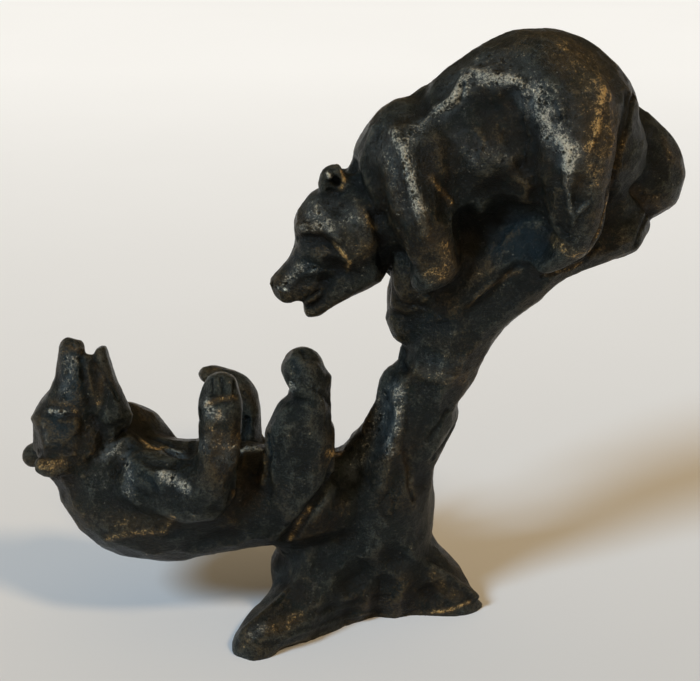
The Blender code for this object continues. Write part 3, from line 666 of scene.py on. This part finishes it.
class Nodes:
    # A short hand for wiring shader nodes.

    def __init__(self, tree):
        self.tree = tree

    def add(self, kind, inputs=(), **settings):
        made = self.tree.nodes.new(kind)
        for name, value in settings.items():
            setattr(made, name, value)
        for key, value in dict(inputs).items():
            if isinstance(value, bpy.types.NodeSocket):
                self.tree.links.new(value, made.inputs[key])
            else:
                made.inputs[key].default_value = value
        return made

    def mask(self, name):
        return self.add("ShaderNodeAttribute", attribute_name=name).outputs["Fac"]

    def math(self, operation, a, b):
        return self.add("ShaderNodeMath", {0: a, 1: b}, operation=operation).outputs[0]

    def times(self, a, b):
        return self.math("MULTIPLY", a, b)

    def less(self, a, b):
        return self.math("SUBTRACT", a, b)

    def total(self, *terms):
        # Values added up, each times its weight.
        total = None
        for value, weight in terms:
            weighted = self.times(value, weight)
            total = weighted if total is None else self.math("ADD", total, weighted)
        return total

    def ramp(self, value, ends):
        low, high = ends
        made = self.add("ShaderNodeMapRange", {"Value": value, "From Min": low, "From Max": high})
        return made.outputs["Result"]

    def mix(self, factor, a, b):
        made = self.add("ShaderNodeMix", data_type="RGBA")
        for key, value in ((0, factor), (6, a), (7, b)):
            if isinstance(value, bpy.types.NodeSocket):
                self.tree.links.new(value, made.inputs[key])
            else:
                made.inputs[key].default_value = value if key == 0 else (*value, 1)
        return made.outputs[2]

    def noise(self, where, size, detail, roughness=0.55, distortion=0.0):
        inputs = {"Vector": where, "Scale": 1 / size, "Detail": detail, "Roughness": roughness,
                  "Distortion": distortion}
        return self.add("ShaderNodeTexNoise", inputs).outputs["Fac"]

    def cells(self, where, size):
        # How far each spot is from its cell's middle, and the cell's own random colour.
        made = self.add("ShaderNodeTexVoronoi", {"Vector": where, "Scale": 1 / size})
        split = self.add("ShaderNodeSeparateColor", {"Color": made.outputs["Color"]})
        return made.outputs["Distance"], split.outputs


patina = {
    "dark": (0.0045, 0.0062, 0.0054),
    "deep": (0.0015, 0.0018, 0.0016),
    "brown": (0.0085, 0.0068, 0.0040),
    "green": (0.0050, 0.0082, 0.0066),
    "blue": (0.0050, 0.0125, 0.0160),
    "worn": (0.120, 0.126, 0.102),
    "wornBrown": (0.150, 0.108, 0.055),
    "gold": (0.56, 0.35, 0.13),
    "pale": (0.56, 0.53, 0.42),
    "haze": (0.44, 0.50, 0.50),
    "roughness": 0.34,
    "bareRoughness": 0.36,
    "uneven": 0.24,             # how much the roughness changes from place to place
    "bareMetal": 0.95,
    "ior": 1.5,
    "gloss": 0.16,
    "relief": 0.5 * mm,
}
# The patina's noises, as (size, detail, roughness, distortion), and the sizes of its cells.
grains = {
    "broad": (12 * mm, 3),
    "mottle": (3 * mm, 6, 0.68),
    "fine": (0.9 * mm, 5, 0.7),
    "specks": (0.36 * mm, 3, 0.65, 0.8),
    "warp": 0.8 * mm,           # what shakes the cells, and how far
    "shake": 0.6 * mm,
    "pores": 1.25 * mm,
    "tiny": 0.5 * mm,
    "glints": 1.0 * mm,
}
# How much of each layer shows.
layers = {
    "hollow": 0.4,
    "leather": 0.6,
    "rubbed": 0.48,
    "goldHaze": 0.13,
    "goldCrumbs": 0.9,
    "frostAndSheen": 0.16,
    "loneGlints": 0.22,
    "bareRubbed": 0.6,
}
# Where each layer starts and where it is whole, along what makes it.
ramps = {
    "brown": (0.42, 0.60),
    "green": (0.48, 0.66),
    "blue": (0.25, 0.55),
    "leather": (0.04, 0.34),
    "wornBrown": (0.44, 0.58),
    "rubbed": (0.06, 0.55),
    "goldHaze": (0.30, 0.62),
    "goldCrumbs": (0.58, 0.95),
    "net": (0.10, 0.42),
    "frostAndSheen": (0.36, 0.62),
    "salt": (0.70, 1.55),
    "luck": (0.35, 0.75),
    "sunk": (0.20, 0.40),
    "rimStart": (0.30, 0.40),
    "rimEnd": (0.42, 0.58),
    "glint": (0.08, 0.17),
    "rare": (0.86, 1.0),
    "dimples": (0.05, 0.36),
}
# The weights of what makes each layer.
weights = {
    "luck": 0.30,
    "grit": {"fine": 1.3, "specks": 1.5},
    "rubbed": {"ridge": 0.28, "grit": 0.95, "roll": 0.35, "hollow": -0.2},
    "goldCrumbs": {"golden": 0.7, "chance": 1.2, "ridge": 0.1, "hollow": -0.3},
    "salt": {"pitted": 0.85, "chance": 1.5, "rim": 0.35, "ridge": 0.15, "hollow": -0.5},
    "relief": {"fine": 0.9, "specks": 0.45, "dimples": 0.10, "dents": -1.0},
    "dents": {"pitted": 0.55, "everywhere": 0.03},
}


def bronzeMaterial():
    metal = bpy.data.materials.new("bronze")
    metal.use_nodes = True
    n = Nodes(metal.node_tree)
    shader = metal.node_tree.nodes["Principled BSDF"]
    where = n.add("ShaderNodeTexCoord").outputs["Object"]

    def weighed(layer, **values):
        # What makes a layer, added up by its weights.
        return n.total(*((value, weights[layer][name]) for name, value in values.items()))

    ridge, hollow, pitted, golden, bloomAndSheen = map(n.mask, ("ridge", "hollow", "pitted", "golden", "bloomAndSheen"))
    broad, mottle, fine, specks = (n.noise(where, *grains[k]) for k in ("broad", "mottle", "fine", "specks"))
    roll = n.less(mottle, 0.5)
    grit = weighed("grit", fine=n.less(fine, 0.5), specks=n.less(specks, 0.5))
    chance = n.math("ADD", roll, grit)

    # Shaken cells: pores of many depths with a rim round each, and the tiny cells of the casting's grain.
    warp = n.add("ShaderNodeTexNoise", {"Vector": where, "Scale": 1 / grains["warp"]}).outputs["Color"]
    shake = (grains["shake"],) * 3
    shift = n.add("ShaderNodeVectorMath", {0: warp, 1: shake}, operation="MULTIPLY").outputs[0]
    shaken = n.add("ShaderNodeVectorMath", {0: where, 1: shift}, operation="ADD").outputs[0]
    middle, random = n.cells(shaken, grains["pores"])
    pore = n.math("ADD", middle, n.times(n.ramp(random["Red"], ramps["luck"]), weights["luck"]))
    sunk = n.less(1.0, n.ramp(pore, ramps["sunk"]))
    rim = n.times(n.ramp(pore, ramps["rimStart"]), n.less(1.0, n.ramp(pore, ramps["rimEnd"])))
    tiny = n.cells(shaken, grains["tiny"])[0]

    # The patina: near black, browner and greener in patches, with a bluish bloom in places, partly a blue
    # patina and partly a painted sheen of the window's light.
    colour = n.mix(n.ramp(broad, ramps["brown"]), patina["dark"], patina["brown"])
    colour = n.mix(n.ramp(mottle, ramps["green"]), colour, patina["green"])
    colour = n.mix(n.times(bloomAndSheen, n.ramp(mottle, ramps["blue"])), colour, patina["blue"])
    colour = n.mix(n.times(hollow, layers["hollow"]), colour, patina["deep"])
    leather = n.less(1.0, n.ramp(tiny, ramps["leather"]))
    colour = n.mix(n.times(leather, layers["leather"]), colour, patina["deep"])
    # Rubbed ridges, broken up by the grain.
    worn = n.mix(n.ramp(broad, ramps["wornBrown"]), patina["worn"], patina["wornBrown"])
    rubbed = weighed("rubbed", ridge=ridge, grit=grit, roll=roll, hollow=hollow)
    rubbed = n.ramp(rubbed, ramps["rubbed"])
    colour = n.mix(n.times(rubbed, layers["rubbed"]), colour, worn)
    # Gold where it is worn most, and painted warm highlights, in crumbs within a brown haze that is a painted
    # glow.
    haze = n.times(golden, n.ramp(fine, ramps["goldHaze"]))
    colour = n.mix(n.times(haze, layers["goldHaze"]), colour, patina["gold"])
    crumbs = weighed("goldCrumbs", golden=golden, chance=chance, ridge=ridge, hollow=hollow)
    crumbs = n.ramp(crumbs, ramps["goldCrumbs"])
    colour = n.mix(n.times(crumbs, layers["goldCrumbs"]), colour, patina["gold"])
    # The pale net between the pits, partly a painted highlight and painted window sheen on the lit facets.
    net = n.times(n.less(1.0, sunk), n.ramp(tiny, ramps["net"]))
    frostAndSheen = n.times(n.times(pitted, n.ramp(mottle, ramps["frostAndSheen"])), net)
    colour = n.mix(n.times(frostAndSheen, layers["frostAndSheen"]), colour, patina["haze"])
    salt = weighed("salt", pitted=pitted, chance=chance, rim=n.times(rim, pitted), ridge=ridge, hollow=hollow)
    salt = n.times(n.ramp(salt, ramps["salt"]), net)
    colour = n.mix(salt, colour, patina["pale"])
    # Rare bright specks, mostly in the pitted bands and their painted highlights.
    middle, random = n.cells(where, grains["glints"])
    near = n.less(1.0, n.ramp(middle, ramps["glint"]))
    glints = n.times(near, n.ramp(random["Green"], ramps["rare"]))
    glints = n.times(glints, n.math("ADD", layers["loneGlints"], pitted))
    colour = n.mix(glints, colour, patina["pale"])

    bare = n.math("MAXIMUM", n.math("MAXIMUM", crumbs, salt), n.times(rubbed, layers["bareRubbed"]))
    bare = n.math("MAXIMUM", bare, glints)
    rough = n.math("ADD", n.times(mottle, patina["uneven"]), patina["roughness"] - patina["uneven"] / 2)
    rough = n.math("ADD", rough, n.times(bare, patina["bareRoughness"] - patina["roughness"]))
    dents = n.math("ADD", n.times(pitted, weights["dents"]["pitted"]), weights["dents"]["everywhere"])
    dimples = n.ramp(tiny, ramps["dimples"])
    height = weighed("relief", fine=fine, specks=specks, dimples=dimples, dents=n.times(sunk, dents))
    bump = n.add("ShaderNodeBump", {"Strength": 1.0, "Distance": patina["relief"], "Height": height})
    links = metal.node_tree.links
    links.new(colour, shader.inputs["Base Color"])
    links.new(n.times(bare, patina["bareMetal"]), shader.inputs["Metallic"])
    links.new(rough, shader.inputs["Roughness"])
    links.new(bump.outputs["Normal"], shader.inputs["Normal"])
    shader.inputs["IOR"].default_value = patina["ior"]
    shader.inputs["Specular IOR Level"].default_value = patina["gloss"]
    return metal


# The sheet is painted lighter towards the back and glows there: painted light that stands in for the room's
# light behind.
floorLook = {
    "size": 8.0,
    "near": (0.69, 0.69, 0.69),
    "far": (0.81, 0.81, 0.81),
    "glow": (0.24, 0.24, 0.235),    # the light of the room behind, which the sheet catches further off
    "gradient": (-0.03, 0.48),      # where the sheet starts to lighten and where it is lightest, along y
    "cloud": (0.5, 0.48, 0.45),
    "cloudSize": 0.09,
    "cloudRamp": (0.3, 0.7),
    "cloudStrength": 0.05,
    "roughness": 0.9,
    "gloss": 0.2,
}


def makeFloor():
    sheet = bmesh.new()
    bmesh.ops.create_grid(sheet, x_segments=2, y_segments=2, size=floorLook["size"] / 2)
    mesh = bpy.data.meshes.new("floor")
    sheet.to_mesh(mesh)
    sheet.free()
    floor = bpy.data.objects.new("floor", mesh)
    bpy.context.scene.collection.objects.link(floor)
    paper = bpy.data.materials.new("pale_floor")
    paper.use_nodes = True
    n = Nodes(paper.node_tree)
    shader = paper.node_tree.nodes["Principled BSDF"]
    where = n.add("ShaderNodeTexCoord").outputs["Object"]
    depth = n.add("ShaderNodeSeparateXYZ", {"Vector": where}).outputs["Y"]
    farness = n.ramp(depth, floorLook["gradient"])
    tone = n.mix(farness, floorLook["near"], floorLook["far"])
    cloud = n.ramp(n.noise(where, floorLook["cloudSize"], 3), floorLook["cloudRamp"])
    tone = n.mix(n.times(cloud, floorLook["cloudStrength"]), tone, floorLook["cloud"])
    paper.node_tree.links.new(tone, shader.inputs["Base Color"])
    # Painted light: an emitted glow, stronger further back.
    glow = n.mix(farness, (0, 0, 0), floorLook["glow"])
    paper.node_tree.links.new(glow, shader.inputs["Emission Color"])
    shader.inputs["Emission Strength"].default_value = 1
    shader.inputs["Roughness"].default_value = floorLook["roughness"]
    shader.inputs["Specular IOR Level"].default_value = floorLook["gloss"]
    mesh.materials.append(paper)


# Suns, as seen from the casting: (degrees round from the front, degrees up), and how wide each is in degrees.
lamps = {
    "window": {"from": (-43, 38), "spread": 16, "strength": 2.75, "colour": (0.59, 0.79, 1.0)},
    "lamp": {"from": (40, 48), "spread": 10, "strength": 1.12, "colour": (1.0, 0.75, 0.46)},
}
# The room's light from the side and from above.
room = {"level": (0.050, 0.036, 0.020), "above": (0.40, 0.30, 0.17)}


def makeLights():
    for name, lamp in lamps.items():
        azimuth, elevation = (math.radians(a) for a in lamp["from"])
        towards = Vector((math.sin(azimuth) * math.cos(elevation),
                          -math.cos(azimuth) * math.cos(elevation), math.sin(elevation)))
        data = bpy.data.lights.new(name, "SUN")
        data.angle = math.radians(lamp["spread"])
        data.energy = lamp["strength"]
        data.color = lamp["colour"]
        light = bpy.data.objects.new(name, data)
        light.location = towards
        light.rotation_euler = (-towards).to_track_quat("-Z", "Y").to_euler()
        bpy.context.scene.collection.objects.link(light)
    world = bpy.data.worlds.new("studio")
    bpy.context.scene.world = world
    world.use_nodes = True
    n = Nodes(world.node_tree)
    where = n.add("ShaderNodeTexCoord").outputs["Generated"]
    up = n.add("ShaderNodeSeparateXYZ", {"Vector": where}).outputs["Z"]
    tone = n.mix(n.ramp(up, (0, 1)), room["level"], room["above"])
    world.node_tree.links.new(tone, world.node_tree.nodes["Background"].inputs["Color"])


camera = makeCamera()
print("camera placed")
skin = Skin(fineClay(camera))
print("net laid:", len(skin.places), "vertices")
cutPlanes(skin, broadKnife)
for touches in (upperTouches, lowerTouches, trunkTouches):
    pressTouches(skin, camera, touches)
pressTouches(skin, camera, farTouches, seen=False)
print("touches pressed")
cutPlanes(skin, smallKnife)
addLumps(skin)
print("planes cut")
addPits(skin, camera)
print("pits made")
standFlat(skin.mesh)
skin = Skin(thinned(skin.mesh, skinSizes["mostTriangles"]))
paintMasks(skin, camera)
print("masks painted:", len(skin.mesh.polygons), "triangles")

bears = bpy.data.objects.new("bronze_bears", skin.mesh)
bpy.context.scene.collection.objects.link(bears)
skin.mesh.name = "bronze_bears"
skin.mesh.materials.clear()
skin.mesh.materials.append(bronzeMaterial())
skin.mesh.shade_smooth()
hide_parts("bears_on_trunk")
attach(bears, "root")

makeFloor()
makeLights()
bpy.context.scene.view_settings.view_transform = "Standard"
print("studio ready")
